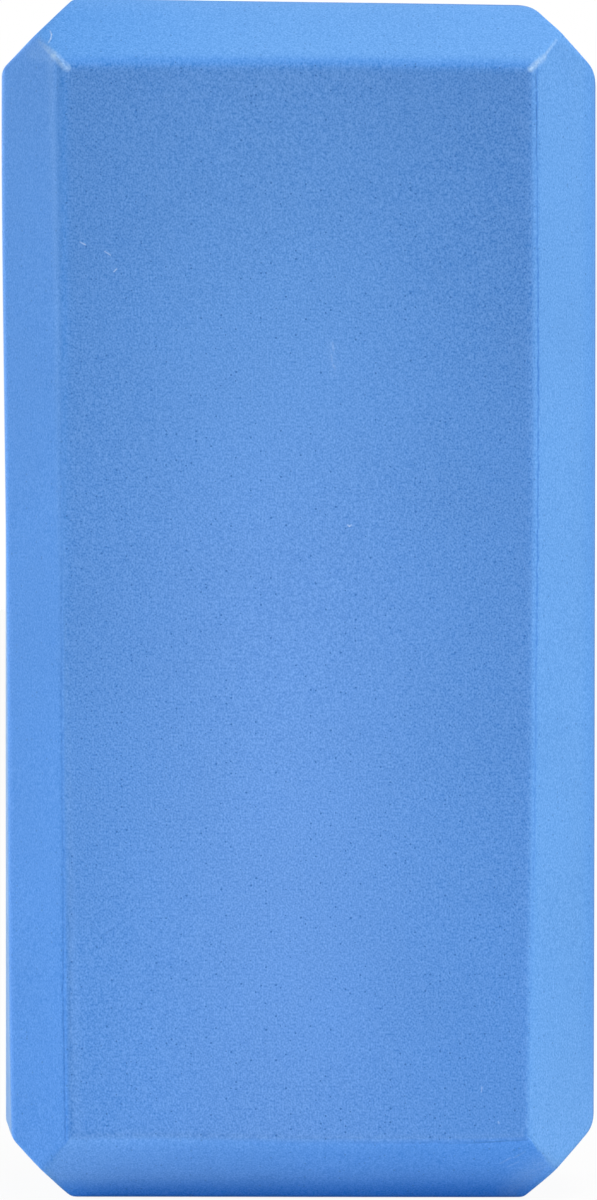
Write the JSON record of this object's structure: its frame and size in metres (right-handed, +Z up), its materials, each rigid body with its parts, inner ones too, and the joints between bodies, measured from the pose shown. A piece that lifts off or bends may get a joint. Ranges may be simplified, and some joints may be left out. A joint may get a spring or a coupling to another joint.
{
  "type": "yoga block",
  "caption": "Solid foam yoga block: a rectangular brick with bevelled, softly rounded edges, used as a firm prop to sit, lean or press on.",
  "frame": {"origin": "middle of the end face that the block stands on", "axes": "+Z up along the block's length, +X across its width, -Y out of the large face that the picture shows"},
  "size_m": [0.1084, 0.07, 0.22],
  "materials": {
    "foam": "matte closed-cell foam, finely mottled, with cut bevels"
  },
  "bodies": {
    "root": {"foam_block": "foam"}
  },
  "joints": []
}
